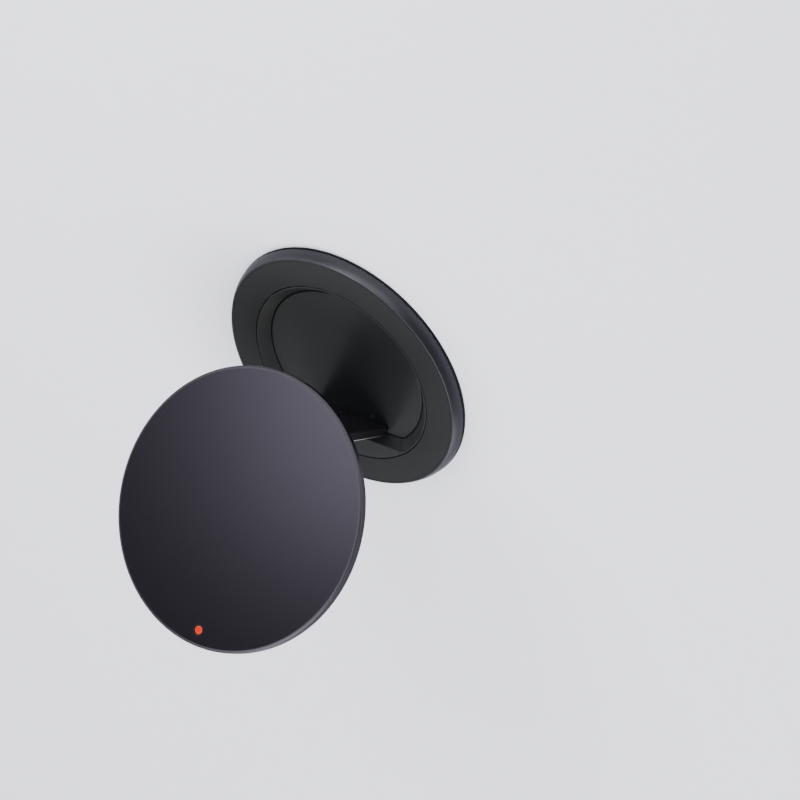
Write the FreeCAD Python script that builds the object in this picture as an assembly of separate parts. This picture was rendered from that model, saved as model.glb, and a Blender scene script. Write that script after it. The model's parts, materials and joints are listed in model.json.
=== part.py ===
import FreeCAD, Part
import math
import os

from FreeCAD import Vector

# Magnetic ring holder with a disc that folds out on a hinged arm, in millimetres.
# The origin is the centre of the magnetic face. X runs along the hinges, Z leaves the magnetic face,
# and the open disc faces -Y. Every piece is modelled folded flat, then turned to the open pose.

# Open pose, in degrees
ARM_ANGLE = 58.6
DISC_TILT = 42.8

# Layers of the base, from the magnetic face up
PAD_THICK = 0.30
PLATE_THICK = 0.20
MAGNET_THICK = 1.45
WEB_THICK = 0.50
FACE_THICK = 0.60

# Base, from the rim inwards
PAD_RADIUS = 28.6
PAD_MARGIN = 0.10
PLATE_INSET = 0.30
RIM_FOOT_BEVEL = 0.20
RIM_FLARE = 0.65
RIM_WALL = 0.65
LIP_BEVEL_WIDTH = 0.30
LIP_BEVEL_DEPTH = 0.80
LIP_WIDTH = 0.45
FACE_CLEARANCE = 0.05
FACE_WIDTH = 5.80
SEAM = 0.20

# Magnets
MAGNET_COUNT = 18
MAGNET_SPACE = 0.30
MAGNET_CLEARANCE = 0.10

# Swivelling core and its pocket
RUNNING_GAP = 0.05
WELL_THICK = 0.20
FLOOR_THICK = 0.20
FLOOR_CLEARANCE = 0.25
FLANGE_WIDTH = 1.05
FLANGE_ROOM = 0.50
GLIDE_THICK = 0.20
GLIDE_MARGIN = 0.15
POCKET_LIP = 0.25
POCKET_SLOPE = 1.85
POCKET_CORNER = 2.60
BLOCK_DEPTH = 4.95
BLOCK_SLOPE = 1.45

# Hinges and arm
PIVOT_INSET = 1.80
TIP_INSET = 2.60
ARM_HALF_WIDTH = 9.00
ARM_THICK = 1.95
ARM_SUNK = 0.05
ARM_BEVEL = 0.20
ARM_TIP_CLEARANCE = 0.20
BARREL_RADIUS = 0.90
BARREL_CLEARANCE = 0.10
NOTCH_ROOM = 0.12
LUG_HALF_WIDTH = 4.30
LUG_WEB_THICK = 1.20
WASHER_THICK = 0.20
WASHER_CLEARANCE = 0.05
PIN_RADIUS = 0.45
PIN_PRESS = 0.01
PIN_RUN = 0.03
PIN_RECESS = 0.25

# Disc
DISC_MARGIN = 0.05
DISC_THICK = 1.75
DISC_GAP = 0.10
DISC_BEVEL_WIDTH = 0.50
DISC_BEVEL_DEPTH = 0.30
DISC_BACK_THICK = 0.45
DISC_WALL = 1.20
DISC_CLEARANCE = 0.08
FOOT_MARGIN = 1.80
DOT_INSET = 3.25
DOT_RADIUS = 1.00
DOT_RECESS = 0.15
DOT_CLEARANCE = 0.04

# Heights that follow from the layers
plate_top = PAD_THICK + PLATE_THICK
web_bottom = plate_top + MAGNET_THICK
web_top = web_bottom + WEB_THICK
face_z = web_top + FACE_THICK
crease_z = face_z - LIP_BEVEL_DEPTH
core_bottom = plate_top + RUNNING_GAP
well_z = core_bottom + WELL_THICK
floor_z = well_z + FLOOR_THICK
glide_bottom = floor_z + RUNNING_GAP
glide_top = glide_bottom + GLIDE_THICK
pivot_z = floor_z + BARREL_CLEARANCE + BARREL_RADIUS
arm_top_z = face_z - ARM_SUNK
arm_under_z = arm_top_z - ARM_THICK
disc_back_z = face_z + DISC_GAP
disc_inner_z = disc_back_z + DISC_BACK_THICK
disc_front_z = disc_back_z + DISC_THICK

# Radii that follow from the pad inwards
rim_foot_radius = PAD_RADIUS - PAD_MARGIN
crease_radius = rim_foot_radius - RIM_FLARE
lip_radius = crease_radius - LIP_BEVEL_WIDTH
recess_radius = lip_radius - LIP_WIDTH
face_radius = recess_radius - FACE_CLEARANCE
bore_radius = face_radius - FACE_WIDTH
core_radius = bore_radius - SEAM
flange_radius = core_radius + FLANGE_WIDTH
channel_inner = flange_radius + FLANGE_ROOM
channel_outer = crease_radius - RIM_WALL
magnet_inner = channel_inner + MAGNET_CLEARANCE
magnet_outer = channel_outer - MAGNET_CLEARANCE
pocket_radius = core_radius - POCKET_LIP
floor_radius = pocket_radius - POCKET_SLOPE
block_edge = pocket_radius - BLOCK_DEPTH
floor_edge = block_edge - BLOCK_SLOPE
disc_radius = PAD_RADIUS - DISC_MARGIN
disc_recess_radius = disc_radius - DISC_WALL
dot_y = disc_radius - DOT_INSET

# Hinge places, folded flat and open
arm_pivot_y = floor_edge - PIVOT_INSET
disc_pivot_y = TIP_INSET - floor_radius
arm_length = arm_pivot_y - disc_pivot_y
ear_start = LUG_HALF_WIDTH + WASHER_THICK + WASHER_CLEARANCE
notch_depth = BARREL_RADIUS + NOTCH_ROOM
tip_radius = floor_radius - ARM_TIP_CLEARANCE
arm_pivot = Vector(0, arm_pivot_y, pivot_z)
disc_pivot = Vector(0, disc_pivot_y, pivot_z)
X_AXIS = Vector(1, 0, 0)
Z_AXIS = Vector(0, 0, 1)


def turned(points, degrees=360):
    """Solid of revolution about Z of an outline given as radius and height."""
    corners = [Vector(radius, 0, height) for radius, height in points]
    face = Part.Face(Part.makePolygon(corners + corners[:1]))
    return face.revolve(Vector(0, 0, 0), Z_AXIS, degrees)


def band(inner, outer, bottom, top, degrees=360):
    """Ring, or part of one, with a rectangular section."""
    return turned([(inner, bottom), (outer, bottom), (outer, top), (inner, top)], degrees)


def block(half_width, y_low, y_high, bottom, top):
    """Box centred on X = 0."""
    corner = Vector(-half_width, y_low, bottom)
    return Part.makeBox(2 * half_width, y_high - y_low, top - bottom, corner)


def rod(radius, start, end, pivot):
    """Cylinder along X between two X values, on a hinge axis."""
    return Part.makeCylinder(radius, end - start, Vector(start, pivot.y, pivot.z), X_AXIS)


def pocket_outline(radius, edge, corner, height):
    """D-shaped wire: a circle cut straight at Y = edge, with its two corners rounded."""
    centre = Vector(math.sqrt((radius - corner) ** 2 - (edge - corner) ** 2), edge - corner, 0)
    on_line = Vector(centre.x, edge, 0)
    outward = Vector(centre).normalize()
    on_circle = outward * radius
    between = centre + (outward + Vector(0, 1, 0)).normalize() * corner
    lift = Vector(0, 0, height)

    def left(point):
        return Vector(-point.x, point.y, point.z)

    def arc(first, middle, last):
        return Part.Arc(first + lift, middle + lift, last + lift).toShape()

    round_side = arc(on_circle, Vector(0, -radius, 0), left(on_circle))
    left_corner = arc(left(on_circle), left(between), left(on_line))
    straight = Part.LineSegment(left(on_line) + lift, on_line + lift).toShape()
    right_corner = arc(on_line, between, on_circle)
    return Part.Wire([round_side, left_corner, straight, right_corner])


def floor_prism(inset):
    """Straight-sided D between the pocket's well and floor, drawn in by a clearance."""
    wire = pocket_outline(floor_radius - inset, floor_edge - inset, POCKET_CORNER - inset, well_z)
    return Part.Face(wire).extrude(Vector(0, 0, FLOOR_THICK))


def rim():
    """Metal rim with a flared and creased side, a face recess on top and a magnet channel below."""
    return turned([
        (channel_outer, plate_top),
        (rim_foot_radius - RIM_FOOT_BEVEL, plate_top),
        (rim_foot_radius, plate_top + RIM_FOOT_BEVEL),
        (crease_radius, crease_z),
        (lip_radius, face_z),
        (recess_radius, face_z),
        (recess_radius, web_top),
        (bore_radius, web_top),
        (bore_radius, glide_top),
        (channel_inner, glide_top),
        (channel_inner, web_bottom),
        (channel_outer, web_bottom),
    ])


def face_ring():
    """Soft flat ring set into the rim, round the swivelling core."""
    return band(bore_radius, face_radius, web_top, face_z)


def back_pad():
    """Soft pad that lies against the magnetic surface."""
    return band(0, PAD_RADIUS, 0, PAD_THICK)


def back_plate():
    """Thin sheet that closes the rim and keeps the core in."""
    return band(0, rim_foot_radius - PLATE_INSET, PAD_THICK, plate_top)


def glide_ring():
    """Friction ring between the core's flange and the rim."""
    return band(core_radius + GLIDE_MARGIN, flange_radius, glide_bottom, glide_top)


def magnet(index):
    """One straight-sided magnet of the ring, with an even gap to the next."""
    half_pitch = math.pi / MAGNET_COUNT
    inner = magnet_inner
    outer = magnet_outer * math.cos(half_pitch)
    inner_half = inner * math.tan(half_pitch) - MAGNET_SPACE / 2
    outer_half = outer * math.tan(half_pitch) - MAGNET_SPACE / 2
    outline = [(inner, -inner_half), (outer, -outer_half), (outer, outer_half), (inner, inner_half)]
    corners = [Vector(x, y, plate_top) for x, y in outline]
    piece = Part.Face(Part.makePolygon(corners + corners[:1])).extrude(Z_AXIS * MAGNET_THICK)
    piece.rotate(Vector(0, 0, 0), Z_AXIS, math.degrees(half_pitch) * (2 * index + 1))
    return piece


def hinge_lug(pivot):
    """Knuckle that a hinge pin is pressed into."""
    return rod(BARREL_RADIUS, -LUG_HALF_WIDTH, LUG_HALF_WIDTH, pivot)


def press_bore(pivot):
    return rod(PIN_RADIUS + PIN_PRESS, -LUG_HALF_WIDTH, LUG_HALF_WIDTH, pivot)


def swivel_core():
    """Flanged core with a D-shaped pocket, a flush hinge block and the arm's lug."""
    body = turned([
        (0, core_bottom),
        (flange_radius, core_bottom),
        (flange_radius, floor_z),
        (core_radius, floor_z),
        (core_radius, face_z),
        (0, face_z),
    ])
    low = pocket_outline(floor_radius, floor_edge, POCKET_CORNER, floor_z)
    high = pocket_outline(pocket_radius, block_edge, POCKET_CORNER, face_z)
    body = body.cut(Part.makeLoft([low, high], True, True)).cut(floor_prism(0))
    web_low = floor_z + BARREL_CLEARANCE
    web = block(LUG_HALF_WIDTH, arm_pivot_y, block_edge, web_low, web_low + LUG_WEB_THICK)
    return body.fuse([web, hinge_lug(arm_pivot)]).cut(press_bore(arm_pivot)).removeSplitter()


def pocket_floor():
    """Thin plate set into the well in the bottom of the pocket."""
    return floor_prism(FLOOR_CLEARANCE)


def hinge_pin(pivot, half_length):
    return rod(PIN_RADIUS, -half_length, half_length, pivot)


def hinge_washer(pivot, side):
    """Friction washer between a lug and one ear of the arm, on side 1 or -1."""
    ends = sorted([side * LUG_HALF_WIDTH, side * (LUG_HALF_WIDTH + WASHER_THICK)])
    return rod(BARREL_RADIUS, *ends, pivot).cut(rod(PIN_RADIUS + PIN_RUN, *ends, pivot))


def fold_arm():
    """Plate with a pair of rounded ears at each end and a tip that follows the pocket's wall."""
    plate = block(ARM_HALF_WIDTH, disc_pivot_y, arm_pivot_y, arm_under_z, arm_top_z)
    middle = (arm_under_z + arm_top_z) / 2
    long_edges = [edge for edge in plate.Edges if edge.tangentAt(0).y ** 2 > 0.5]
    top_ends = [
        edge for edge in plate.Edges
        if edge.tangentAt(0).x ** 2 > 0.5 and edge.CenterOfMass.z > middle]
    plate = plate.makeChamfer(ARM_BEVEL, long_edges + top_ends)
    pivots = (arm_pivot, disc_pivot)
    barrels = [rod(BARREL_RADIUS, -ARM_HALF_WIDTH, ARM_HALF_WIDTH, pivot) for pivot in pivots]
    plate = plate.fuse(barrels)
    reach = 2 * BARREL_RADIUS
    low = pivot_z - reach
    high = pivot_z + reach
    near_notch = block(ear_start, arm_pivot_y - notch_depth, arm_pivot_y + reach, low, high)
    far_notch = block(ear_start, disc_pivot_y - reach, disc_pivot_y + notch_depth, low, high)
    bores = [rod(PIN_RADIUS + PIN_RUN, -ARM_HALF_WIDTH, ARM_HALF_WIDTH, pivot) for pivot in pivots]
    tip = Part.makeCylinder(tip_radius, high - low, Vector(0, 0, low))
    return plate.cut([near_notch, far_notch] + bores).common(tip).removeSplitter()


def front_disc():
    """Thin metal disc with a bevelled front edge and a recess behind."""
    shell = turned([
        (0, disc_inner_z),
        (disc_recess_radius, disc_inner_z),
        (disc_recess_radius, disc_back_z),
        (disc_radius, disc_back_z),
        (disc_radius, disc_front_z - DISC_BEVEL_DEPTH),
        (disc_radius - DISC_BEVEL_WIDTH, disc_front_z),
        (0, disc_front_z),
    ])
    hole = Part.makeCylinder(DOT_RADIUS, DISC_THICK, Vector(0, dot_y, disc_back_z))
    return shell.cut(hole)


def hinge_foot(inset):
    """Rectangular foot of the disc's hinge block, drawn in by a clearance."""
    depth = BARREL_RADIUS + FOOT_MARGIN - inset
    return block(LUG_HALF_WIDTH + FOOT_MARGIN - inset, disc_pivot_y - depth, disc_pivot_y + depth,
                 disc_back_z, disc_inner_z)


def disc_back():
    """Sheet that backs the disc, with a window for the hinge block."""
    return band(0, disc_recess_radius - DISC_CLEARANCE, disc_back_z, disc_inner_z).cut(hinge_foot(0))


def disc_hinge_block():
    """Foot set into the disc's back, with the lug that the arm's far pin is pressed into."""
    neck = block(LUG_HALF_WIDTH, disc_pivot_y - BARREL_RADIUS, disc_pivot_y + BARREL_RADIUS,
                 pivot_z, disc_back_z)
    solid = hinge_foot(DISC_CLEARANCE).fuse([neck, hinge_lug(disc_pivot)])
    return solid.cut(press_bore(disc_pivot)).removeSplitter()


def marker_dot():
    """Coloured plug just below the disc's front."""
    height = disc_front_z - DOT_RECESS - disc_inner_z
    return Part.makeCylinder(DOT_RADIUS - DOT_CLEARANCE, height, Vector(0, dot_y, disc_inner_z))


def with_arm(shape):
    """Turns a folded piece of the arm to its open pose."""
    shape.rotate(arm_pivot, X_AXIS, -ARM_ANGLE)
    return shape


def with_disc(shape):
    """Turns a folded piece of the disc to its open pose, at the arm's far end."""
    lean = math.radians(ARM_ANGLE)
    open_pivot = arm_pivot + Vector(0, -math.cos(lean), math.sin(lean)) * arm_length
    shape.rotate(disc_pivot, X_AXIS, DISC_TILT)
    shape.translate(open_pivot - disc_pivot)
    return shape


def pieces():
    """Every node of the part by name."""
    near_pin = ARM_HALF_WIDTH - PIN_RECESS
    far_ear = math.sqrt(tip_radius ** 2 - (disc_pivot_y - BARREL_RADIUS) ** 2)
    far_pin = far_ear - PIN_RECESS
    nodes = {
        "base_rim": rim(),
        "face_ring": face_ring(),
        "back_plate": back_plate(),
        "back_pad": back_pad(),
        "glide_ring": glide_ring(),
        "swivel_core": swivel_core(),
        "pocket_floor": pocket_floor(),
        "arm_hinge_pin": hinge_pin(arm_pivot, near_pin),
        "fold_arm": with_arm(fold_arm()),
        "front_disc": with_disc(front_disc()),
        "disc_back": with_disc(disc_back()),
        "disc_hinge_block": with_disc(disc_hinge_block()),
        "disc_hinge_pin": with_disc(hinge_pin(disc_pivot, far_pin)),
        "marker_dot": with_disc(marker_dot()),
    }
    for label, side in (("left", -1), ("right", 1)):
        nodes["arm_hinge_washer_" + label] = hinge_washer(arm_pivot, side)
        nodes["disc_hinge_washer_" + label] = with_disc(hinge_washer(disc_pivot, side))
    for index in range(MAGNET_COUNT):
        nodes[f"magnet_{index + 1:02d}"] = magnet(index)
    return nodes


os.makedirs("parts", exist_ok=True)
for name, shape in pieces().items():
    shape.exportStep(f"parts/{name}.step")
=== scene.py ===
import json
import math

import bpy
import numpy as np
from mathutils import Matrix


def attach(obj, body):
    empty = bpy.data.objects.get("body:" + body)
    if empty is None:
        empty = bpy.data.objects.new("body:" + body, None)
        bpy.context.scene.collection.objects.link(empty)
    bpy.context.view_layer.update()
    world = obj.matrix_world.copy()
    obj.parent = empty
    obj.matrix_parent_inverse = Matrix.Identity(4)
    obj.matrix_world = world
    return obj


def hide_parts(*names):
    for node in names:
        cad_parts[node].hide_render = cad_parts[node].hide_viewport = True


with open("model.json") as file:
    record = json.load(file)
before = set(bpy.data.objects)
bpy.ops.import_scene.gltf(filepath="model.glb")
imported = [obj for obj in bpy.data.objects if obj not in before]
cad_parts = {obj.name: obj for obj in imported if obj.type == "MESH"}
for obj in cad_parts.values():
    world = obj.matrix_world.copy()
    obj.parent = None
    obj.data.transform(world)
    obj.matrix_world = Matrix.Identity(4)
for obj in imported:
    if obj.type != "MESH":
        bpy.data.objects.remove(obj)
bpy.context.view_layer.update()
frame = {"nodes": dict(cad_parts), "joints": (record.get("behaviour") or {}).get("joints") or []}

nodes = frame["nodes"]
joints = {joint["name"]: joint for joint in frame["joints"]}

# Lengths are in millimetres, with the part folded flat, unless a line says otherwise
MM = 0.001
TINY = 1e-9

# Points round a turned piece, round a D-shaped one, and round a pin, washer or marker
AROUND, D_AROUND, SMALL_AROUND = 360, 720, 96

# Eased edges: points on the arc, flat run kept beside it, share of a side that it may take, limits in radians
EASE_STEPS, EASE_GUARD, EASE_ROOM = 6, 0.03, 0.45
SHARPEST, STRAIGHTEST, LEAST_SWEEP = 1e-3, 1e-6, 1e-4

# Welding distance in metres, and the angle up to which faces are shaded as one surface
WELD, SMOOTH_ANGLE = 2e-7, math.radians(35)

# Base: heights, radii, the rim's side, and where a painted highlight lightens the rim's upper side
PAD_RADIUS, PAD_TOP = 28.6, 0.30
RIM_BOTTOM, SIDE_BOTTOM, BORE_BOTTOM, CHANNEL_TOP, FACE_SEAT, FACE_TOP = 0.50, 0.70, 1.2, 1.95, 2.45, 3.05
RIM_FOOT, RIM_SIDE, RIM_LIP, CHANNEL_INNER, CHANNEL_OUTER = 28.3, 28.5, 27.55, 22.6, 27.2
RECESS_RADIUS, FACE_RADIUS, BORE_RADIUS = 27.1, 27.05, 21.25
RIM_LEAN, RIM_CURL, RIM_CURVE, SIDE_STEPS = 0.25, 0.70, 2.2, 9
# Painted highlight on the rim's upper side: the height where it starts, and the curve of its rise to the lip
PAINTED_LIGHT_START, PAINTED_LIGHT_CURVE = 1.7, 1.5

# Core: heights, outer radii, the D of the pocket's mouth and of its floor, and the gap round the floor's plate
CORE_BOTTOM, WELL_TOP, FLOOR_TOP, WELL_MARGIN = 0.55, 0.75, 0.95, 0.01
CORE_RADIUS, FLANGE_RADIUS = 21.05, 22.1
POCKET_RADIUS, POCKET_EDGE, POCKET_CORNER = 20.8, 15.85, 2.6
FLOOR_RADIUS, FLOOR_EDGE, FLOOR_GAP = 18.95, 14.4, 0.34

# Hinges: pivots, knuckles, lugs, washers and pins
PIVOT_Z, ARM_PIVOT_Y, DISC_PIVOT_Y = 1.95, 12.6, -16.35
BARREL_RADIUS, NEAR_KNUCKLE_STEPS, FAR_KNUCKLE_STEPS = 0.90, 60, 48
LUG_HALF_WIDTH, LUG_WEB_TOP, LUG_WEB_GAP, LUG_EASE, NECK_SINK = 4.30, 2.25, 0.25, 0.08, 0.1
WASHER_THICK, WASHER_EASE = 0.20, 0.04
PIN_RADIUS, PIN_BORE, PIN_EASE, NEAR_PIN, FAR_PIN = 0.45, 0.48, 0.08, 8.75, 7.09

# Arm: section, ears, eased outer edges and where a painted highlight lies on them, and points on each stretch
ARM_HALF_WIDTH, ARM_OVER, ARM_UNDER, ARM_EDGE = 9.0, 1.05, 0.90, 0.16
NOTCH_DEPTH, LEAD_STOP, EAR_START, TIP_RADIUS = 1.02, 0.2, 4.55, 18.75
EDGE_RUN, EAR_RUN, BORE_DEPTH = 0.6, 0.7, 0.6
# Painted highlight on the arm's upper outer edges: where it starts from the arm's hinge, and the run over which it
# grows
ARM_PAINTED_HIGHLIGHT_START, ARM_PAINTED_HIGHLIGHT_RUN = 1.0, 12.0
RUN_STEPS, BARREL_STEPS, END_STEPS, EAR_STEPS = 12, 49, 6, 14

# Disc: radii, heights, bevel, guard rings that keep its faces flat, backing sheet, hinge block and marker
DISC_RADIUS, DISC_RECESS, DISC_BEVEL_WIDTH, DISC_BEVEL_DEPTH = 28.55, 27.35, 0.50, 0.30
DISC_BACK, DISC_INNER, DISC_FRONT = 3.15, 3.60, 4.90
FRONT_GUARD, BACK_GUARD, HOLE_FRONT_GUARD, HOLE_BACK_GUARD = 27.75, 27.0, 1.4, 1.2
SHEET_RADIUS, WINDOW, WINDOW_CORNER = 27.27, (6.1, 2.7), 0.3
FOOT, FOOT_CORNER = (6.02, 2.62), 0.25
DOT_Y, DOT_HOLE, DOT_RADIUS, DOT_SEAT, DOT_HEAD, DOT_TOP = 25.30, 1.00, 0.96, 3.90, 0.82, 4.75
DOT_LIP, DOT_DISH, DISH_STEPS = 0.10, 0.09, 8

# Open pose, from the joints. The disc's range reaches past the turn of its coupling by a slack, in degrees
RANGE_SLACK = 0.01
ARM_ANGLE = math.radians(-joints["arm_fold"]["range_deg"][0])
DISC_TURN = math.radians(-joints["disc_fold"]["range_deg"][0] - RANGE_SLACK)
OPEN_PIVOT = np.array(joints["disc_fold"]["pos_m"]) / MM

# Span that most values of a noise lie in
MOST_NOISE = (0.3, 0.7)

# Floor and lamps, in metres. Each lamp has its place, target, width, height and power in watts
STAGE_HALF_WIDTH = 2.0
LAMPS = {
    "softbox_top": ((-0.30, 0.45, 1.3), (0, 0, 0.03), 1.2, 1.2, 47.0),
    "softbox_back": ((0.548, 0.695, 0.653), (0, 0, 0), 0.9, 0.9, 1.3),
    "softbox_front": ((-0.12, -1.12, 0.42), (0, 0, 0), 1.2, 0.6, 8.5),
    "softbox_disc": ((0.0989, -0.2142, 0.1979), (0, 0.008, 0.04), 0.15, 0.15, 0.56),
    "softbox_side": ((0.85, -0.25, 0.30), (0, 0, 0), 0.7, 0.25, 2.6),
    "softbox_low": ((-0.34, 0.94, 0.13), (0, 0, 0.002), 0.8, 0.24, 3.5),
}

# Surroundings: upward share of a direction where the light starts and ends its fall, and its strength at both
FALL_START, FALL_END, STRENGTH_LOW, STRENGTH_HIGH = 0.12, 0.45, 0.45, 0.05

# Camera: focal length and sensor in millimetres, axes, and place in metres
FOCAL_LENGTH, SENSOR_WIDTH = 132.92, 36.0
CAMERA_RIGHT, CAMERA_UP, CAMERA_FORWARD = (-0.816, 0.111, -0.567), (0.2925, -0.768, -0.570), (0.498, 0.632, -0.594)
CAMERA_PLACE = (-0.3106, -0.3735, 0.3559)


# Surfaces

def lengths(vectors):
    """Length of each vector, kept as a last axis of one."""
    return np.linalg.norm(vectors, axis=-1, keepdims=True)


def eased(rings, radii, closed=False):
    """Rings of points with the corner at each ring rounded.

    Along one column of the rings runs a path with a corner at each ring. The corner is replaced by the arc
    that touches both of its sides: it starts at radius / tan(half the angle) from the corner, and its centre
    lies on the bisector at radius / sin(half the angle). A guard point on each side keeps the flat run flat.
    Returns the new rings and a mask that is 1 on the arcs."""
    rings = np.asarray(rings, float)
    radius = np.asarray(radii, float)[:, None, None]
    before = np.roll(rings, 1, axis=0)
    after = np.roll(rings, -1, axis=0)
    if not closed:
        before[0], after[-1] = rings[0], rings[-1]
    back, ahead = before - rings, after - rings
    room = EASE_ROOM * np.minimum(lengths(back), lengths(ahead))
    back = back / np.maximum(lengths(back), TINY)
    ahead = ahead / np.maximum(lengths(ahead), TINY)
    half = np.arccos(np.clip((back * ahead).sum(-1, keepdims=True), -1, 1)) / 2
    half = np.clip(half, SHARPEST, math.pi / 2 - STRAIGHTEST)
    reach = np.minimum(radius / np.tan(half), room)
    radius = reach * np.tan(half)
    bisector = back + ahead
    bisector = bisector / np.maximum(lengths(bisector), TINY)
    centre = rings + bisector * radius / np.sin(half)
    sweep = math.pi - 2 * half
    first, last = rings + back * reach - centre, rings + ahead * reach - centre
    share = np.linspace(0, 1, EASE_STEPS)[:, None, None, None]
    bend = np.maximum(np.sin(sweep), TINY)
    turned_arc = (np.sin((1 - share) * sweep) * first + np.sin(share * sweep) * last) / bend
    straight = (1 - share) * first + share * last
    arc = centre + np.where(sweep > LEAST_SWEEP, turned_arc, straight)
    guard = np.minimum(EASE_GUARD, np.maximum(room - reach, 0))
    ends = [rings + back * (reach + guard), rings + ahead * (reach + guard)]
    path = np.concatenate([ends[:1], arc, ends[1:]]).swapaxes(0, 1)
    on_arc = np.zeros(path.shape[:3])
    on_arc[:, 1:-1] = 1
    on_arc *= np.asarray(radii)[:, None, None] > 0
    return path.reshape(-1, *path.shape[2:]), on_arc.reshape(-1, path.shape[2])


def turn_angles(count=AROUND):
    """Angles of a full turn in even steps."""
    return np.linspace(0, 2 * math.pi, count, endpoint=False)


def ring(radius, height, centre_y=0.0, count=AROUND):
    """Circle about a line along Z: (radius cos a, centre + radius sin a, height). The radius may vary with a."""
    angle = turn_angles(count)
    return np.stack([radius * np.cos(angle), centre_y + radius * np.sin(angle), height + 0 * angle], axis=-1)


def axle_ring(radius, along, pivot_y):
    """Circle about a hinge axis, at a distance along X: (along, pivot + radius cos a, pivot + radius sin a)."""
    angle = turn_angles(SMALL_AROUND)
    across, up = pivot_y + radius * np.cos(angle), PIVOT_Z + radius * np.sin(angle)
    return np.stack([along + 0 * angle, across, up], axis=-1)


def d_radius(radius, edge, corner):
    """Distance from the axis to a D: a circle, cut straight at Y = edge, with two rounded corners.

    A ray at angle a meets the circle at radius and the straight side at edge / sin a. Between the points where
    the corner arc touches them it meets that arc, at c.u + sqrt((c.u)^2 - c.c + corner^2), with u the ray's
    direction and c the arc's centre."""
    angle = turn_angles(D_AROUND)
    centre_x = math.sqrt((radius - corner) ** 2 - (edge - corner) ** 2)
    along = np.abs(np.cos(angle)) * centre_x + np.sin(angle) * (edge - corner)
    on_arc = along + np.sqrt(np.maximum(along ** 2 - (radius - corner) ** 2 + corner ** 2, 0))
    straight = np.where(np.sin(angle) > TINY, edge / np.maximum(np.sin(angle), TINY), np.inf)
    arc_from = math.atan2(edge - corner, centre_x)
    arc_to = math.atan2(edge, centre_x)
    folded = np.arctan2(np.sin(angle), np.abs(np.cos(angle)))
    plain = np.minimum(radius, straight)
    return np.where((folded > arc_from) & (folded < arc_to), on_arc, plain)


def box_radius(half_x, half_y, corner):
    """Distance from the centre to a rectangle with rounded corners, along each ray, found as for the D."""
    angle = turn_angles()
    across, up = np.abs(np.cos(angle)), np.abs(np.sin(angle))
    plain = np.minimum(half_x / np.maximum(across, TINY), half_y / np.maximum(up, TINY))
    along = across * (half_x - corner) + up * (half_y - corner)
    inside = along ** 2 - (half_x - corner) ** 2 - (half_y - corner) ** 2 + corner ** 2
    on_arc = along + np.sqrt(np.maximum(inside, 0))
    in_corner = (plain * across > half_x - corner) & (plain * up > half_y - corner)
    return np.where(in_corner, on_arc, plain)


def skin(rings, mask=None, closed=False):
    """Points, quads and edge mask of a grid of rings, each joined round to its start."""
    rows, count = rings.shape[:2]
    index = np.arange(rows * count).reshape(rows, count)
    if closed:
        index = np.vstack([index, index[:1]])
    index = np.hstack([index, index[:, :1]])
    quads = np.stack([index[:-1, :-1], index[:-1, 1:], index[1:, 1:], index[1:, :-1]], axis=-1)
    mask = np.zeros(rows * count) if mask is None else mask.ravel()
    return rings.reshape(-1, 3), quads.reshape(-1, 4), mask


def eased_skin(rings, radii, closed=False):
    """Skin of a grid of rings with its corners eased."""
    return skin(*eased(rings, radii, closed), closed)


def turned(outline, centre_y=0.0, count=AROUND, closed=False):
    """Outline turned about a line along Z. Each corner has its radius, its height and the radius of its easing."""
    rings = [ring(radius, height, centre_y, count) for radius, height, _ in outline]
    return eased_skin(rings, [ease for _, _, ease in outline], closed)


def turned_on_axle(outline, pivot_y, closed=False):
    """Outline turned about a hinge axis. Each corner has its radius, its place along X and its easing."""
    rings = [axle_ring(radius, along, pivot_y) for radius, along, _ in outline]
    return eased_skin(rings, [ease for _, _, ease in outline], closed)


def joined(skins):
    """Several skins as one list of points, quads and edge mask."""
    starts = np.cumsum([0] + [len(points) for points, _, _ in skins[:-1]])
    return (np.concatenate([points for points, _, _ in skins]),
            np.concatenate([quads + start for (_, quads, _), start in zip(skins, starts)]),
            np.concatenate([mask for _, _, mask in skins]))


def turned_about_x(points, pivot, angle):
    """Points turned about a line along X through a pivot."""
    c, s = math.cos(angle), math.sin(angle)
    return (points - pivot) @ np.array([[1, 0, 0], [0, c, s], [0, -s, c]]) + pivot


def opened(points, body):
    """Folded points moved to the open pose of their body."""
    arm_pivot = np.array([0, ARM_PIVOT_Y, PIVOT_Z])
    disc_pivot = np.array([0, DISC_PIVOT_Y, PIVOT_Z])
    if body == "arm":
        return turned_about_x(points, arm_pivot, -ARM_ANGLE)
    if body == "disc":
        return turned_about_x(points, disc_pivot, DISC_TURN - ARM_ANGLE) + OPEN_PIVOT - disc_pivot
    return points


def signed_volume(mesh):
    """Sum of the signed volumes between the origin and each triangle: positive where faces point outwards."""
    mesh.calc_loop_triangles()
    corners = np.empty(len(mesh.loop_triangles) * 3, np.int32)
    mesh.loop_triangles.foreach_get("vertices", corners)
    places = np.empty(len(mesh.vertices) * 3, np.float32)
    mesh.vertices.foreach_get("co", places)
    a, b, c = places.reshape(-1, 3)[corners].reshape(-1, 3, 3).swapaxes(0, 1)
    return float((a * np.cross(b, c)).sum())


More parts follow.
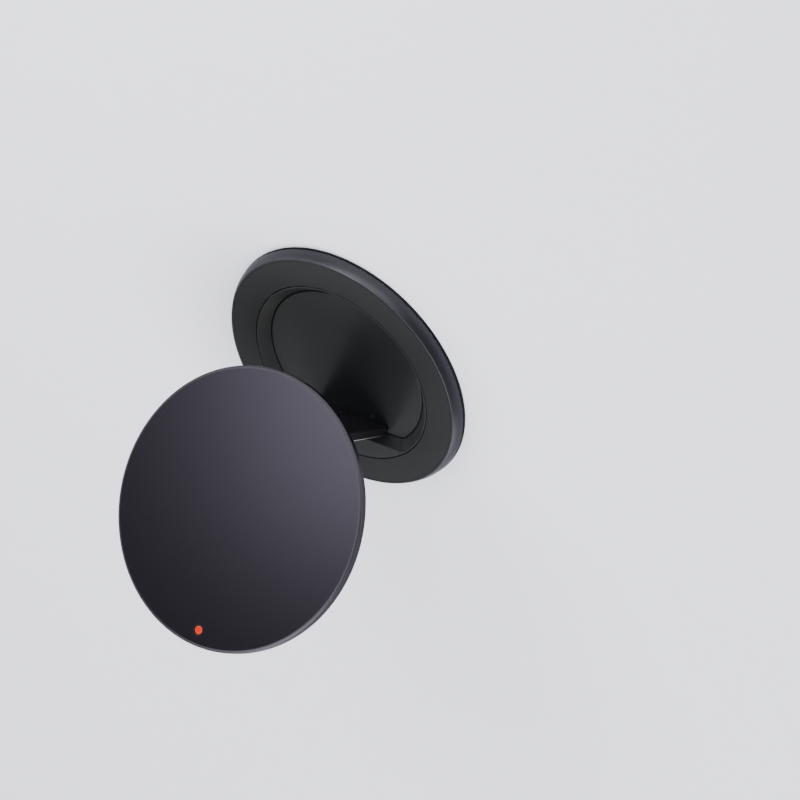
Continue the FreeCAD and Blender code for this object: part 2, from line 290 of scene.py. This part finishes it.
def piece(name, body, stands_for, skins, material):
    """One closed piece from its skins: points welded, quads with a repeated point made triangles or dropped,
    faces turned outwards and shaded smooth up to SMOOTH_ANGLE."""
    points, quads, edge = joined(skins)
    points = opened(points, body) * MM
    cells = np.round(points / WELD).astype(np.int64)
    _, keep, place = np.unique(cells, axis=0, return_index=True, return_inverse=True)
    quads = place.ravel()[quads]
    corners = 1 + (np.diff(np.sort(quads, axis=1), axis=1) > 0).sum(axis=1)
    repeat = quads == np.roll(quads, -1, axis=1)
    whole = quads[corners == 4]
    three = quads[corners == 3]
    three = three[~repeat[corners == 3]].reshape(-1, 3)
    mesh = bpy.data.meshes.new(name)
    mesh.from_pydata(points[keep], [], whole.tolist() + three.tolist())
    mesh.attributes.new("edge", "FLOAT", "POINT").data.foreach_set("value", edge[keep].astype(np.float32))
    mesh.validate()
    if signed_volume(mesh) < 0:
        mesh.flip_normals()
    mesh.shade_smooth()
    mesh.set_sharp_from_angle(angle=SMOOTH_ANGLE)
    mesh.materials.append(material)
    made = bpy.data.objects.new(name, mesh)
    bpy.context.scene.collection.objects.link(made)
    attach(made, body)
    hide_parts(*stands_for)


# Pieces of the base

def rim_skin():
    """Rim turned about Z: foot bevel, flared side, lip, face recess, bore and magnet channel.

    At a share t of its height the side has come in by RIM_LEAN t + RIM_CURL t^RIM_CURVE. The edge mask is a painted
    highlight that lightens the rim's upper side, as the light on it would: it is the share of the height from its
    start height to the lip, to the power of its curve."""
    side = [(RIM_SIDE - RIM_LEAN * t - RIM_CURL * t ** RIM_CURVE, SIDE_BOTTOM + (FACE_TOP - SIDE_BOTTOM) * t, 0)
            for t in np.linspace(0, 1, SIDE_STEPS)[1:-1]]
    outline = [
        (CHANNEL_OUTER, RIM_BOTTOM, 0), (RIM_FOOT, RIM_BOTTOM, 0.05), (RIM_SIDE, SIDE_BOTTOM, 0.08), *side,
        (RIM_LIP, FACE_TOP, 0.12), (RECESS_RADIUS, FACE_TOP, 0.05), (RECESS_RADIUS, FACE_SEAT, 0),
        (BORE_RADIUS, FACE_SEAT, 0), (BORE_RADIUS, BORE_BOTTOM, 0), (CHANNEL_INNER, BORE_BOTTOM, 0),
        (CHANNEL_INNER, CHANNEL_TOP, 0), (CHANNEL_OUTER, CHANNEL_TOP, 0)]
    points, quads, _ = turned(outline, closed=True)
    # Painted highlight: the edge mask lightens the upper side of the rim
    return points, quads, np.clip((points[:, 2] - PAINTED_LIGHT_START) / (FACE_TOP - PAINTED_LIGHT_START), 0, 1) ** PAINTED_LIGHT_CURVE


def face_skin():
    """Flat soft ring with eased edges."""
    return turned([(BORE_RADIUS, FACE_SEAT, 0), (FACE_RADIUS, FACE_SEAT, 0), (FACE_RADIUS, FACE_TOP, 0.06),
                   (BORE_RADIUS, FACE_TOP, 0.09)], closed=True)


def pad_skin():
    """Soft disc with an eased edge on both sides."""
    return turned([(0, 0, 0), (PAD_RADIUS, 0, 0.10), (PAD_RADIUS, PAD_TOP, 0.08), (0, PAD_TOP, 0)])


# Pieces of the core

def core_skins():
    """Core: circles outside, D-shaped rings down the pocket to the well, and the lug carried along X. The mask is 1
    on the lug and below the pocket's floor, where it paints shade: the black edge tone darkens them."""
    high = d_radius(POCKET_RADIUS, POCKET_EDGE, POCKET_CORNER)
    low = d_radius(FLOOR_RADIUS, FLOOR_EDGE, POCKET_CORNER)
    outline = [
        (0, CORE_BOTTOM, 0), (FLANGE_RADIUS, CORE_BOTTOM, 0), (FLANGE_RADIUS, FLOOR_TOP, 0),
        (CORE_RADIUS, FLOOR_TOP, 0), (CORE_RADIUS, FACE_TOP, 0.09), (high, FACE_TOP, 0.10),
        (low, FLOOR_TOP, 0), (low, WELL_TOP, 0), (0, WELL_TOP, 0)]
    points, quads, _ = turned(outline, count=D_AROUND)
    # Painted shade: below the floor's plate the well is coloured black
    painted_shade_in_well = (points[:, 2] < FLOOR_TOP - WELL_MARGIN).astype(float)
    # Painted shade: the whole lug is coloured black, as the hinge's shadow would make it
    lug_points, lug_quads, _ = lug_skin()
    return [(points, quads, painted_shade_in_well), (lug_points, lug_quads, np.ones(len(lug_points)))]


def lug_skin():
    """Lug of the arm's hinge: a round knuckle and the web behind it, carried along X."""
    web_end = POCKET_EDGE - LUG_WEB_GAP
    start = math.asin((LUG_WEB_TOP - PIVOT_Z) / BARREL_RADIUS)
    turn = np.linspace(start, 1.5 * math.pi, NEAR_KNUCKLE_STEPS)
    y = np.concatenate([ARM_PIVOT_Y + BARREL_RADIUS * np.cos(turn), [web_end, web_end]])
    z = np.concatenate([PIVOT_Z + BARREL_RADIUS * np.sin(turn), [PIVOT_Z - BARREL_RADIUS, LUG_WEB_TOP]])
    return knuckle_skin(y, z, ARM_PIVOT_Y)


def knuckle_skin(y, z, pivot_y):
    """Closed outline in Y and Z carried along X over a lug's width, with eased ends that close on the hinge axis."""
    def outline(x):
        return np.stack([x + 0 * y, y, z], axis=-1)

    def middle(x):
        return np.broadcast_to(np.array([x, pivot_y, PIVOT_Z]), (len(y), 3))

    rings = [middle(-LUG_HALF_WIDTH), outline(-LUG_HALF_WIDTH), outline(LUG_HALF_WIDTH), middle(LUG_HALF_WIDTH)]
    return eased_skin(rings, [0, LUG_EASE, LUG_EASE, 0])


def floor_skin():
    """Thin D-shaped plate with an eased top edge."""
    side = d_radius(FLOOR_RADIUS - FLOOR_GAP, FLOOR_EDGE - FLOOR_GAP, POCKET_CORNER - FLOOR_GAP)
    outline = [(0, WELL_TOP, 0), (side, WELL_TOP, 0), (side, FLOOR_TOP, 0.06), (0, FLOOR_TOP, 0)]
    return turned(outline, count=D_AROUND)


def pin_skin(pivot_y, half_length):
    """Pin along X with eased ends."""
    return turned_on_axle([(0, -half_length, 0), (PIN_RADIUS, -half_length, PIN_EASE),
                           (PIN_RADIUS, half_length, PIN_EASE), (0, half_length, 0)], pivot_y)


def washer_skin(pivot_y, side):
    """Flat washer along X with eased rims."""
    near, far = side * LUG_HALF_WIDTH, side * (LUG_HALF_WIDTH + WASHER_THICK)
    return turned_on_axle([(PIN_BORE, near, 0), (BARREL_RADIUS, near, WASHER_EASE),
                           (BARREL_RADIUS, far, WASHER_EASE), (PIN_BORE, far, 0)], pivot_y, closed=True)


# Arm

def arm_skins():
    """Arm: a section in Y and Z carried along X.

    The section runs along the top, round the near end, back along the bottom and round the far end. Between the ears
    both ends are straight, and in the ears they follow the hinge barrels. The ears' far ends are cut by the circle
    that follows the pocket's wall. At the outer sides the section closes on its middle line, and near the arm's
    hinge on the rim of a blind bore for the pin. The edge mask is a painted highlight on the upper outer edges,
    which grows brighter along the arm towards the disc over a set run."""
    run = np.linspace(DISC_PIVOT_Y + NOTCH_DEPTH, ARM_PIVOT_Y - NOTCH_DEPTH, RUN_STEPS)
    turn = np.linspace(math.pi / 2, math.asin(ARM_UNDER / BARREL_RADIUS) - math.pi, BARREL_STEPS)
    lead = np.linspace(-NOTCH_DEPTH, -LEAD_STOP, END_STEPS)
    tail = np.linspace(BARREL_RADIUS * math.cos(turn[-1]), -NOTCH_DEPTH, END_STEPS + 1)[1:]
    end_y = np.concatenate([lead, BARREL_RADIUS * np.cos(turn), tail])
    end_z = np.concatenate([0 * lead + ARM_OVER, BARREL_RADIUS * np.sin(turn), 0 * tail - ARM_UNDER])
    share = np.linspace(0, 1, len(end_y))
    bore = math.pi * (1 - 2 * share)
    bore_y, bore_z = PIN_BORE * np.cos(bore), PIN_BORE * np.sin(bore)

    def section(near_y, near_z, far_y, far_z, over, under):
        y = np.concatenate([run, ARM_PIVOT_Y + near_y, run[::-1], DISC_PIVOT_Y - far_y[::-1]])
        z = np.concatenate([0 * run + over, near_z, 0 * run - under, far_z[::-1]])
        return y, PIVOT_Z + z

    flat_y, flat_z = 0 * share - NOTCH_DEPTH, ARM_OVER - share * (ARM_OVER + ARM_UNDER)
    middle_y = np.concatenate([lead, 0 * turn, lead[::-1]])
    ear = section(end_y, end_z, end_y, end_z, ARM_OVER, ARM_UNDER)
    web = section(flat_y, flat_z, flat_y, flat_z, ARM_OVER, ARM_UNDER)
    spine = section(bore_y, bore_z, middle_y, 0 * middle_y, 0, 0)

    def station(x, shape):
        return np.stack([x + 0 * shape[0], shape[0], shape[1]], axis=-1)

    def ear_side(side):
        outer, inner = side * ARM_HALF_WIDTH, side * EAR_START
        edge, on_edge = eased([station(outer, spine), station(outer, ear),
                               station(side * (ARM_HALF_WIDTH - EDGE_RUN), ear)], [0, ARM_EDGE, 0])
        # Painted highlight: kept on the upper edges, growing towards the disc
        marked = np.clip((ARM_PIVOT_Y - ARM_PAINTED_HIGHLIGHT_START - ear[0]) / ARM_PAINTED_HIGHLIGHT_RUN, 0, 1) * (ear[1] > PIVOT_Z)
        steps = np.linspace(side * (ARM_HALF_WIDTH - EAR_RUN), inner, EAR_STEPS)
        rest = np.stack([station(x, ear) for x in steps])
        return np.concatenate([edge, rest]), np.concatenate([on_edge * marked, np.zeros(rest.shape[:2])])

    left, left_edge = ear_side(-1)
    right, right_edge = ear_side(1)
    webs = np.stack([station(-EAR_START, web), station(EAR_START, web)])
    rings = np.concatenate([left, webs, right[::-1]])
    mask = np.concatenate([left_edge, np.zeros(webs.shape[:2]), right_edge[::-1]])
    cut = np.sqrt(TIP_RADIUS ** 2 - rings[..., 0] ** 2)
    rings[..., 1] = np.maximum(rings[..., 1], -cut)
    skins = [skin(rings, mask)]
    rim = (ARM_PIVOT_Y + bore_y, PIVOT_Z + bore_z)
    middle = (ARM_PIVOT_Y + 0 * bore_y, PIVOT_Z + 0 * bore_z)
    for side in (-1, 1):
        mouth, deep = side * ARM_HALF_WIDTH, side * (ARM_HALF_WIDTH - BORE_DEPTH)
        cup = [station(mouth, rim), station(deep, rim), station(deep, middle)]
        skins.append(skin(np.stack(cup if side > 0 else cup[::-1])))
    return skins


# Pieces of the disc

def disc_skin():
    """Front disc: circles of changing centre, radius and height, from the marker's hole over the front, round the
    bevelled edge, into the recess behind and back to the hole. Each corner ends with the radius of its easing."""
    outline = [
        (DOT_Y, DOT_HOLE, DISC_INNER, 0), (DOT_Y, DOT_HOLE, DISC_FRONT, 0.05),
        (DOT_Y, HOLE_FRONT_GUARD, DISC_FRONT, 0), (0, FRONT_GUARD, DISC_FRONT, 0),
        (0, DISC_RADIUS - DISC_BEVEL_WIDTH, DISC_FRONT, 0.5),
        (0, DISC_RADIUS, DISC_FRONT - DISC_BEVEL_DEPTH, 0.22), (0, DISC_RADIUS, DISC_BACK, 0.12),
        (0, DISC_RECESS, DISC_BACK, 0.06), (0, DISC_RECESS, DISC_INNER, 0), (0, BACK_GUARD, DISC_INNER, 0),
        (DOT_Y, HOLE_BACK_GUARD, DISC_INNER, 0)]
    rings = [ring(radius, height, centre_y) for centre_y, radius, height, _ in outline]
    return eased_skin(rings, [ease for *_, ease in outline], closed=True)


def sheet_skin():
    """Backing sheet: rings about the hinge block's window, from its rectangle out to the sheet's circle.

    Seen from the window's centre c, the circle lies along the ray u at -c.u + sqrt((c.u)^2 - c.c + radius^2)."""
    window = box_radius(*WINDOW, WINDOW_CORNER)
    across = DISC_PIVOT_Y * np.sin(turn_angles())
    rim = -across + np.sqrt(across ** 2 - DISC_PIVOT_Y ** 2 + SHEET_RADIUS ** 2)
    outline = [(window, DISC_INNER, 0), (window, DISC_BACK, 0.05), (rim, DISC_BACK, 0.08), (rim, DISC_INNER, 0)]
    return turned(outline, DISC_PIVOT_Y, closed=True)


def hinge_block_skins():
    """Hinge block: a rectangular foot in the sheet's window, and a neck with a round knuckle carried along X. The
    neck runs into the foot by NECK_SINK."""
    foot = box_radius(*FOOT, FOOT_CORNER)
    outline = [(0, DISC_BACK, 0), (foot, DISC_BACK, 0.06), (foot, DISC_INNER, 0), (0, DISC_INNER, 0)]
    plate = turned(outline, DISC_PIVOT_Y)
    turn = np.linspace(-math.pi, 0, FAR_KNUCKLE_STEPS)
    neck_top = DISC_BACK + NECK_SINK
    y = DISC_PIVOT_Y + BARREL_RADIUS * np.concatenate([np.cos(turn), [1, -1]])
    z = np.concatenate([PIVOT_Z + BARREL_RADIUS * np.sin(turn), [neck_top, neck_top]])
    return [plate, knuckle_skin(y, z, DISC_PIVOT_Y)]


def dot_skin():
    """Marker plug: a seat that fills the hole, and a narrower head with an eased edge and a shallow dish.

    At a share t of its radius the dish is DOT_DISH (1 - t^2) deep."""
    inner = DOT_HEAD - DOT_LIP
    dish = [(inner * t, DOT_TOP - DOT_DISH * (1 - t ** 2), 0) for t in np.linspace(1, 0, DISH_STEPS)[1:-1]]
    outline = [
        (0, DISC_INNER, 0), (DOT_RADIUS, DISC_INNER, 0), (DOT_RADIUS, DOT_SEAT, 0), (DOT_HEAD, DOT_SEAT, 0),
        (DOT_HEAD, DOT_TOP, 0.07), (inner, DOT_TOP, 0.02), *dish, (0, DOT_TOP - DOT_DISH, 0)]
    return turned(outline, DOT_Y, SMALL_AROUND)


# Shared effects

def group(name, inputs, outputs):
    """Empty shader node group with named sockets; returns the group, its input node and its output node."""
    made = bpy.data.node_groups.new(name, "ShaderNodeTree")
    for label, value in inputs.items():
        made.interface.new_socket(label, in_out="INPUT", socket_type="NodeSocketFloat").default_value = value
    for label in outputs:
        made.interface.new_socket(label, in_out="OUTPUT", socket_type="NodeSocketFloat")
    return made, made.nodes.new("NodeGroupInput"), made.nodes.new("NodeGroupOutput")


def sums(tree, kind, first, second):
    """Math node of a kind, fed by sockets or plain numbers."""
    node = tree.nodes.new("ShaderNodeMath")
    node.operation = kind
    for place, value in zip(node.inputs, (first, second)):
        if isinstance(value, (int, float)):
            place.default_value = value
        else:
            tree.links.new(value, place)
    return node.outputs[0]


def spread(tree, value, low, high, out_low, out_high):
    """Map Range node from one span to another."""
    node = tree.nodes.new("ShaderNodeMapRange")
    tree.links.new(value, node.inputs["Value"])
    for label, number in (("From Min", low), ("From Max", high), ("To Min", out_low), ("To Max", out_high)):
        node.inputs[label].default_value = number
    return node.outputs["Result"]


def noise(tree, scale, detail=2.0, roughness=0.5):
    """Noise on the piece's own place, with its scale from a socket."""
    place = tree.nodes.new("ShaderNodeTexCoord")
    node = tree.nodes.new("ShaderNodeTexNoise")
    tree.links.new(place.outputs["Object"], node.inputs["Vector"])
    tree.links.new(scale, node.inputs["Scale"])
    node.inputs["Detail"].default_value = detail
    node.inputs["Roughness"].default_value = roughness
    return node.outputs["Fac"]


def make_grain():
    """Fine even grain, as blasting, coating or moulding leaves it, with a slow drift under it."""
    made, inputs, outputs = group("fine_grain", {"Scale": 5000.0, "Drift Scale": 120.0}, ["Grain", "Drift"])
    grain = noise(made, inputs.outputs["Scale"], detail=3.0, roughness=0.6)
    made.links.new(grain, outputs.inputs["Grain"])
    made.links.new(noise(made, inputs.outputs["Drift Scale"]), outputs.inputs["Drift"])
    return made


def make_edge_wear_and_painted_light():
    """Edge tone in uneven stretches where the piece's mask is set: rubbed edges lighter on some pieces, and painted
    highlights and painted shade on others.
    """
    made, inputs, outputs = group("edge_wear_and_painted_light", {"Amount": 0.5, "Patch Scale": 400.0}, ["Mask"])
    mask = made.nodes.new("ShaderNodeAttribute")
    mask.attribute_name = "edge"
    patch = spread(made, noise(made, inputs.outputs["Patch Scale"]), *MOST_NOISE, out_low=0.8, out_high=1.0)
    # The mask's tone is rubbed wear on some pieces, and painted highlight and painted shade on others
    marked = sums(made, "MULTIPLY", mask.outputs["Fac"], patch)
    made.links.new(sums(made, "MULTIPLY", marked, inputs.outputs["Amount"]), outputs.inputs["Mask"])
    return made


def make_handling():
    """Soft smears from handling, which dull the surface a little."""
    made, inputs, outputs = group("handling_smears", {"Scale": 60.0, "Amount": 0.05}, ["Rougher"])
    patch = noise(made, inputs.outputs["Scale"], detail=3.0, roughness=0.55)
    smear = spread(made, patch, low=0.35, high=0.7, out_low=0.0, out_high=1.0)
    made.links.new(sums(made, "MULTIPLY", smear, inputs.outputs["Amount"]), outputs.inputs["Rougher"])
    return made


GRAIN, EDGE_WEAR_AND_PAINTED_LIGHT, HANDLING = make_grain(), make_edge_wear_and_painted_light(), make_handling()


def finish(name, dark, light, edge, edge_amount, rough, rough_span, grain, bump, metallic=0.0, smear=0.05,
           drift=0.35, specular=0.5, grazing=1.0, edge_rough=0.0):
    """Surface finish: grain and drift mix a dark and a light tone, the edge tone shows where the mask is set (rubbed
    wear on some pieces, painted highlight and painted shade on others), and grain, smears and the mask vary the
    gloss. Grain gives the fine bump, in millimetres."""
    made = bpy.data.materials.new(name)
    made.use_nodes = True
    tree = made.node_tree
    shader = tree.nodes["Principled BSDF"]

    def placed(source, **values):
        node = tree.nodes.new("ShaderNodeGroup")
        node.node_tree = source
        for label, value in values.items():
            node.inputs[label].default_value = value
        return node

    def mixed(amount, first, second):
        node = tree.nodes.new("ShaderNodeMix")
        node.data_type = "RGBA"
        tree.links.new(amount, node.inputs["Factor"])
        colour_sockets = [s for s in node.inputs if s.type == "RGBA"]
        for place, value in zip(colour_sockets, (first, second)):
            if isinstance(value, tuple):
                place.default_value = (*value, 1.0)
            else:
                tree.links.new(value, place)
        return [s for s in node.outputs if s.type == "RGBA"][0]

    fine = placed(GRAIN, Scale=grain)
    tone = sums(tree, "ADD", sums(tree, "MULTIPLY", fine.outputs["Grain"], 1 - drift),
                sums(tree, "MULTIPLY", fine.outputs["Drift"], drift))
    colour = mixed(spread(tree, tone, *MOST_NOISE, out_low=0.0, out_high=1.0), dark, light)
    # Edge tone: rubbed wear on some pieces, painted highlight and painted shade on others, as each piece's mask sets
    edge_wear_and_light = placed(EDGE_WEAR_AND_PAINTED_LIGHT, Amount=edge_amount)
    tree.links.new(mixed(edge_wear_and_light.outputs["Mask"], colour, edge), shader.inputs["Base Color"])
    smears = placed(HANDLING, Amount=smear)
    gloss = spread(tree, fine.outputs["Grain"], *MOST_NOISE, out_low=rough - rough_span, out_high=rough + rough_span)
    dulled = sums(tree, "ADD", gloss, sums(tree, "MULTIPLY", edge_wear_and_light.outputs["Mask"], edge_rough))
    tree.links.new(sums(tree, "ADD", dulled, smears.outputs["Rougher"]), shader.inputs["Roughness"])
    height = tree.nodes.new("ShaderNodeBump")
    height.inputs["Strength"].default_value = 1.0
    height.inputs["Distance"].default_value = bump * MM
    tree.links.new(fine.outputs["Grain"], height.inputs["Height"])
    tree.links.new(height.outputs["Normal"], shader.inputs["Normal"])
    shader.inputs["Metallic"].default_value = metallic
    shader.inputs["Specular IOR Level"].default_value = specular
    shader.inputs["Specular Tint"].default_value = (grazing, grazing, grazing, 1.0)
    return made


# Finishes

# Its lighter edge tone is a painted highlight on the rim's upper side, lightest at the lip
graphite_rim = finish(
    "graphite_rim", dark=(0.031, 0.031, 0.0355), light=(0.036, 0.036, 0.0415), edge=(0.085, 0.085, 0.096),
    edge_amount=0.35, rough=0.38, rough_span=0.02, grain=14000.0, bump=0.0004, metallic=0.9, smear=0.02,
    drift=0.15, grazing=0.62)
# Its lighter, duller edge tone on the eased edges is partly rubbed anodising and partly a painted highlight
graphite_disc = finish(
    "graphite_disc", dark=(0.0277, 0.0252, 0.0336), light=(0.0293, 0.0267, 0.0356), edge=(0.105, 0.102, 0.113),
    edge_amount=0.6, rough=0.28, rough_span=0.003, grain=16000.0, bump=0.00004, metallic=0.9, smear=0.004,
    drift=0.05, grazing=0.5, edge_rough=0.8)
soft_face = finish(
    "soft_face", dark=(0.0098, 0.0103, 0.0118), light=(0.0131, 0.0137, 0.0156), edge=(0.022, 0.022, 0.025),
    edge_amount=0.4, rough=0.65, rough_span=0.06, grain=4200.0, bump=0.006, smear=0.04, specular=0.2)
soft_pad = finish(
    "soft_pad", dark=(0.006, 0.006, 0.007), light=(0.011, 0.011, 0.012), edge=(0.016, 0.016, 0.017),
    edge_amount=0.4, rough=0.75, rough_span=0.06, grain=3600.0, bump=0.010, smear=0.04, specular=0.2)
# Its black edge tone is painted shade in the pocket's well and on the arm's hinge lug; on the disc's knuckle it
# darkens the eased edges
black_core = finish(
    "black_core", dark=(0.0178, 0.0190, 0.0203), light=(0.0236, 0.0250, 0.0266), edge=(0.002, 0.002, 0.0022),
    edge_amount=0.95, rough=0.50, rough_span=0.05, grain=5200.0, bump=0.003, smear=0.05, specular=0.12,
    edge_rough=0.4)
gloss_floor = finish(
    "gloss_floor", dark=(0.0121, 0.0135, 0.0150), light=(0.0137, 0.0152, 0.0168), edge=(0.02, 0.02, 0.021),
    edge_amount=0.3, rough=0.31, rough_span=0.01, grain=9000.0, bump=0.0004, smear=0.01, drift=0.1,
    specular=0.32)
# Its near-white edge tone is a painted highlight along the arm's upper outer edges
black_arm = finish(
    "black_arm", dark=(0.0110, 0.0106, 0.0128), light=(0.0134, 0.0130, 0.0155), edge=(0.58, 0.58, 0.59),
    edge_amount=0.9, rough=0.42, rough_span=0.03, grain=5200.0, bump=0.002, smear=0.03, specular=0.05)
black_sheet = finish(
    "black_sheet", dark=(0.013, 0.013, 0.014), light=(0.018, 0.018, 0.019), edge=(0.04, 0.04, 0.042),
    edge_amount=0.4, rough=0.48, rough_span=0.06, grain=4200.0, bump=0.005, smear=0.06, specular=0.25)
pin_steel = finish(
    "pin_steel", dark=(0.42, 0.42, 0.43), light=(0.56, 0.56, 0.57), edge=(0.72, 0.72, 0.72),
    edge_amount=0.6, rough=0.28, rough_span=0.06, grain=3000.0, bump=0.002, metallic=1.0)
sheet_steel = finish(
    "sheet_steel", dark=(0.40, 0.40, 0.41), light=(0.52, 0.52, 0.53), edge=(0.6, 0.6, 0.6),
    edge_amount=0.3, rough=0.36, rough_span=0.08, grain=2400.0, bump=0.003, metallic=1.0)
nickel = finish(
    "nickel", dark=(0.50, 0.48, 0.44), light=(0.62, 0.60, 0.56), edge=(0.7, 0.68, 0.64),
    edge_amount=0.3, rough=0.22, rough_span=0.05, grain=2800.0, bump=0.002, metallic=1.0)
glide_plastic = finish(
    "glide_plastic", dark=(0.58, 0.58, 0.56), light=(0.68, 0.68, 0.66), edge=(0.7, 0.7, 0.68),
    edge_amount=0.2, rough=0.45, rough_span=0.05, grain=3000.0, bump=0.003)
# Its pale edge tone is a painted highlight round the marker head's eased edge
marker_orange = finish(
    "marker_orange", dark=(0.55, 0.004, 0.0001), light=(0.60, 0.005, 0.0002), edge=(0.85, 0.16, 0.05),
    edge_amount=0.8, rough=0.34, rough_span=0.03, grain=3500.0, bump=0.002, smear=0.02, specular=0.05)


# Build

piece("rim_shell", "base", ["base_rim"], [rim_skin()], graphite_rim)
piece("soft_face_ring", "base", ["face_ring"], [face_skin()], soft_face)
piece("soft_back_pad", "base", ["back_pad"], [pad_skin()], soft_pad)
piece("pocket_core", "core", ["swivel_core"], core_skins(), black_core)
piece("pocket_plate", "core", ["pocket_floor"], [floor_skin()], gloss_floor)
piece("near_pin", "core", ["arm_hinge_pin"], [pin_skin(ARM_PIVOT_Y, NEAR_PIN)], pin_steel)
piece("arm_plate", "arm", ["fold_arm"], arm_skins(), black_arm)
piece("disc_shell", "disc", ["front_disc"], [disc_skin()], graphite_disc)
piece("disc_sheet", "disc", ["disc_back"], [sheet_skin()], black_sheet)
piece("disc_knuckle", "disc", ["disc_hinge_block"], hinge_block_skins(), black_core)
piece("far_pin", "disc", ["disc_hinge_pin"], [pin_skin(DISC_PIVOT_Y, FAR_PIN)], pin_steel)
piece("marker_plug", "disc", ["marker_dot"], [dot_skin()], marker_orange)
for label, side in (("left", -1), ("right", 1)):
    piece("near_washer_" + label, "core", ["arm_hinge_washer_" + label],
          [washer_skin(ARM_PIVOT_Y, side)], pin_steel)
    piece("far_washer_" + label, "disc", ["disc_hinge_washer_" + label],
          [washer_skin(DISC_PIVOT_Y, side)], pin_steel)

# Solids whose shape is right keep it, and get a finish
kept = {"back_plate": sheet_steel, "glide_ring": glide_plastic}
kept.update({name: nickel for name in nodes if name.startswith("magnet_")})
for name, material in kept.items():
    nodes[name].data.materials.clear()
    nodes[name].data.materials.append(material)


# Floor, light and camera

def pale_floor():
    """Large plain sheet under the part."""
    corner = np.array([(-1, -1, 0), (1, -1, 0), (1, 1, 0), (-1, 1, 0)]) * STAGE_HALF_WIDTH
    mesh = bpy.data.meshes.new("pale_floor")
    mesh.from_pydata(corner, [], [(0, 1, 2, 3)])
    mesh.materials.append(finish(
        "pale_floor", dark=(0.84, 0.845, 0.95), light=(0.86, 0.865, 0.97), edge=(0.8, 0.8, 0.82),
        edge_amount=0.0, rough=0.55, rough_span=0.03, grain=300.0, bump=0.002, smear=0.02))
    made = bpy.data.objects.new("pale_floor", mesh)
    bpy.context.scene.collection.objects.link(made)


def pose_matrix(x_axis, y_axis, z_axis, place):
    """Matrix with an object's three axes and its place as columns."""
    columns = (x_axis, y_axis, z_axis, place)
    return Matrix([[column[i] for column in columns] for i in range(3)] + [[0, 0, 0, 1]])


def softbox(name, place, target, width, height, power):
    """Rectangular lamp that faces a target."""
    lamp = bpy.data.lights.new(name, "AREA")
    lamp.shape = "RECTANGLE"
    lamp.size, lamp.size_y, lamp.energy = width, height, power
    made = bpy.data.objects.new(name, lamp)
    away = np.array(place, float) - np.array(target, float)
    away /= np.linalg.norm(away)
    side = np.cross((0.0, 0.0, 1.0), away)
    side /= np.linalg.norm(side)
    made.matrix_world = pose_matrix(side, np.cross(away, side), away, place)
    bpy.context.scene.collection.objects.link(made)


def surroundings():
    """White light from all round, stronger near the horizon than above."""
    world = bpy.data.worlds.new("studio")
    world.use_nodes = True
    tree = world.node_tree
    background = tree.nodes["Background"]
    background.inputs["Color"].default_value = (1.0, 1.0, 1.0, 1.0)
    direction = tree.nodes.new("ShaderNodeTexCoord")
    height = tree.nodes.new("ShaderNodeSeparateXYZ")
    tree.links.new(direction.outputs["Generated"], height.inputs["Vector"])
    strength = spread(tree, height.outputs["Z"], FALL_START, FALL_END, STRENGTH_LOW, STRENGTH_HIGH)
    tree.links.new(strength, background.inputs["Strength"])
    bpy.context.scene.world = world


def main_camera():
    """Camera of the main view."""
    lens = bpy.data.cameras.new("camera")
    lens.lens, lens.sensor_width = FOCAL_LENGTH, SENSOR_WIDTH
    camera = bpy.data.objects.new("camera", lens)
    camera.matrix_world = pose_matrix(CAMERA_RIGHT, CAMERA_UP, -np.array(CAMERA_FORWARD), CAMERA_PLACE)
    bpy.context.scene.collection.objects.link(camera)
    bpy.context.scene.camera = camera


pale_floor()
for name, values in LAMPS.items():
    softbox(name, *values)
surroundings()
main_camera()
